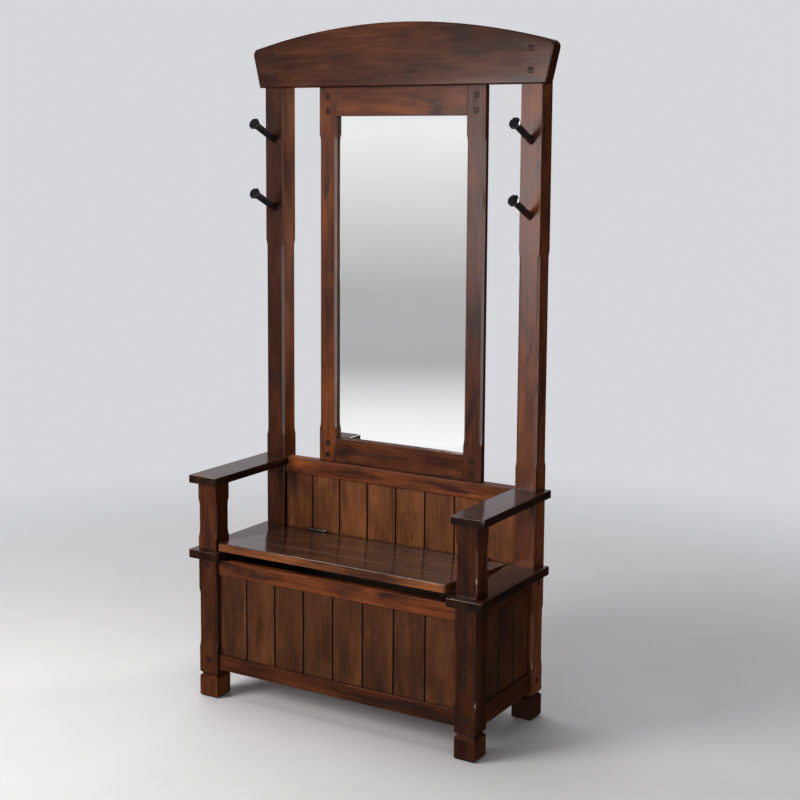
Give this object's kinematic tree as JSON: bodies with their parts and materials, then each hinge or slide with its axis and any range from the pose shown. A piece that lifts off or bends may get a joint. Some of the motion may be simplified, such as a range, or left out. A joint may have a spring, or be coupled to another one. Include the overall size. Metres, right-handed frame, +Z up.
{
  "type": "hall tree",
  "caption": "Wooden hall tree with a lidded storage bench, plank panels, flat arms, a tall framed mirror, peg-like coat hooks and an arched crown.",
  "frame": {"origin": "centre of the floor outline, on the floor", "axes": "+Z up, -Y out of the front towards the person, +X to the right of someone looking at the front"},
  "size_m": [1.039, 0.441, 2.058],
  "materials": {
    "stained_wood": "dark brown stain with blotches under semi-gloss lacquer",
    "plank_wood": "dark brown stain, satin lacquer",
    "lid_wood": "dark brown stain under glossy lacquer",
    "peg_wood": "near-black stained end grain",
    "sheet_board": "thin board, stained, satin",
    "mirror": "silvered flat glass",
    "black_iron": "glossy black",
    "hinge_steel": "darkened steel"
  },
  "bodies": {
    "frame": {"arm_post_left": "stained_wood", "arm_post_right": "stained_wood", "armrest_left": "stained_wood", "armrest_right": "stained_wood", "back_bottom_rail": "stained_wood", "back_planks": "plank_wood", "back_top_rail": "stained_wood", "box_back_panel": "sheet_board", "box_floor": "sheet_board", "crown": "stained_wood", "crown_pegs": "peg_wood", "floor_cleats": "stained_wood", "foot_front_left": "stained_wood", "foot_front_right": "stained_wood", "foot_rear_left": "stained_wood", "foot_rear_right": "stained_wood", "front_bottom_rail": "stained_wood", "front_planks": "plank_wood", "front_top_rail": "stained_wood", "hinge_frame_leaf_left": "hinge_steel", "hinge_frame_leaf_right": "hinge_steel", "hinge_frame_screws": "hinge_steel", "hinge_pin_left": "hinge_steel", "hinge_pin_right": "hinge_steel", "hinge_rail": "stained_wood", "hook_lower_left": "black_iron", "hook_lower_right": "black_iron", "hook_upper_left": "black_iron", "hook_upper_right": "black_iron", "leg_front_left": "stained_wood", "leg_front_right": "stained_wood", "leg_pegs": "peg_wood", "mirror_backing": "sheet_board", "mirror_bottom_rail": "stained_wood", "mirror_glass": "mirror", "mirror_pegs": "peg_wood", "mirror_stile_left": "stained_wood", "mirror_stile_right": "stained_wood", "mirror_top_rail": "stained_wood", "post_rear_left": "stained_wood", "post_rear_right": "stained_wood", "seat_shelf_left": "stained_wood", "seat_shelf_right": "stained_wood", "side_bottom_rail_left": "stained_wood", "side_bottom_rail_right": "stained_wood", "side_planks_left": "plank_wood", "side_planks_right": "plank_wood", "side_top_rail_left": "stained_wood", "side_top_rail_right": "stained_wood"},
    "lid": {"hinge_lid_leaf_left": "hinge_steel", "hinge_lid_leaf_right": "hinge_steel", "hinge_lid_screws": "hinge_steel", "lid_batten_left": "stained_wood", "lid_batten_right": "stained_wood", "lid_batten_screws": "hinge_steel", "lid_board_1": "lid_wood", "lid_board_2": "lid_wood", "lid_board_3": "lid_wood", "lid_board_4": "lid_wood"}
  },
  "joints": [
    {"name": "lid_hinge", "type": "hinge", "parent": "frame", "child": "lid", "pos_m": [0, 0.161, 0.4705], "axis": [-1, 0, 0], "range_deg": [-5.3, 80]}
  ]
}
